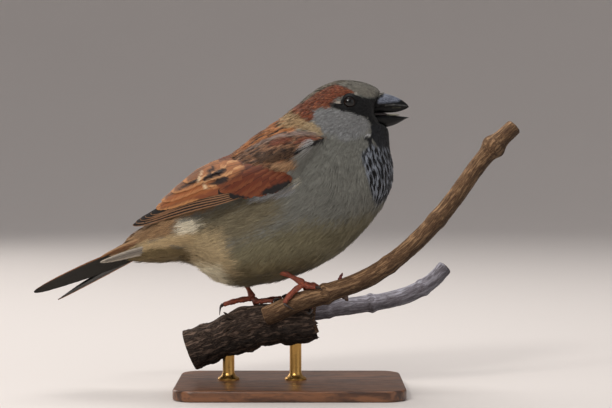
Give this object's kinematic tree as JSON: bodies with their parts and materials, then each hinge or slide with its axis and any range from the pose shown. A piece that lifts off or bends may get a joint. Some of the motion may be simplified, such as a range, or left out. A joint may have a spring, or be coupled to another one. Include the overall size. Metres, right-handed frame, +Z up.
{
  "type": "house sparrow",
  "caption": "Life-size male house sparrow, still model, gripping a short cut of branch held up by a flat display base with rods.",
  "frame": {"origin": "centre of the flat underside of the stand's base", "axes": "+Z up, +X the way the bird faces and the branch runs, -Y the bird's right side"},
  "size_m": [0.1772, 0.06, 0.1158],
  "materials": {
    "plumage": "soft matte body feathers, grey crown and cheek, chestnut head side and mantle, black bib, grey-buff belly",
    "wing_coverts": "matte rufous and chestnut feathers with dark centres and buff tips",
    "flight_feathers": "smooth dark brown vanes with rufous-buff edges",
    "tail_feathers": "smooth charcoal brown vanes with thin brown edges",
    "eye": "polished, nearly black with a dark brown iris",
    "bill": "satin blue-black horn",
    "mouth": "moist dull pink-grey",
    "leg_skin": "orange-brown scaled skin",
    "claw": "dark horn, slightly glossy",
    "bark": "rough furrowed dark bark with pale patches",
    "tan_bark": "smooth tan bark with small pores and a ringed knot",
    "grey_bark": "weathered grey bark with a ringed knot",
    "stand_wood": "dark stained, satin varnished",
    "stand_metal": "brushed, slightly dulled"
  },
  "bodies": {
    "root": {"head": "plumage", "neck": "plumage", "trunk": "plumage", "rump": "plumage", "thigh_left": "plumage", "thigh_right": "plumage", "wing_left_coverts": "wing_coverts", "wing_right_coverts": "wing_coverts", "wing_left_tertials": "flight_feathers", "wing_right_tertials": "flight_feathers", "wing_left_primaries": "flight_feathers", "wing_right_primaries": "flight_feathers", "tail_left": "tail_feathers", "tail_right": "tail_feathers", "eye_left": "eye", "eye_right": "eye", "bill_upper": "bill", "bill_lower": "bill", "tongue": "mouth", "tarsus_left": "leg_skin", "tarsus_right": "leg_skin", "toe_left_hind": "leg_skin", "toe_left_inner": "leg_skin", "toe_left_middle": "leg_skin", "toe_left_outer": "leg_skin", "toe_right_hind": "leg_skin", "toe_right_inner": "leg_skin", "toe_right_middle": "leg_skin", "toe_right_outer": "leg_skin", "claw_left_hind": "claw", "claw_left_inner": "claw", "claw_left_middle": "claw", "claw_left_outer": "claw", "claw_right_hind": "claw", "claw_right_inner": "claw", "claw_right_middle": "claw", "claw_right_outer": "claw", "perch_limb": "bark", "perch_shoot_tan": "tan_bark", "perch_shoot_grey": "grey_bark", "stand_base": "stand_wood", "stand_rod_front": "stand_metal", "stand_rod_rear": "stand_metal"}
  },
  "joints": []
}
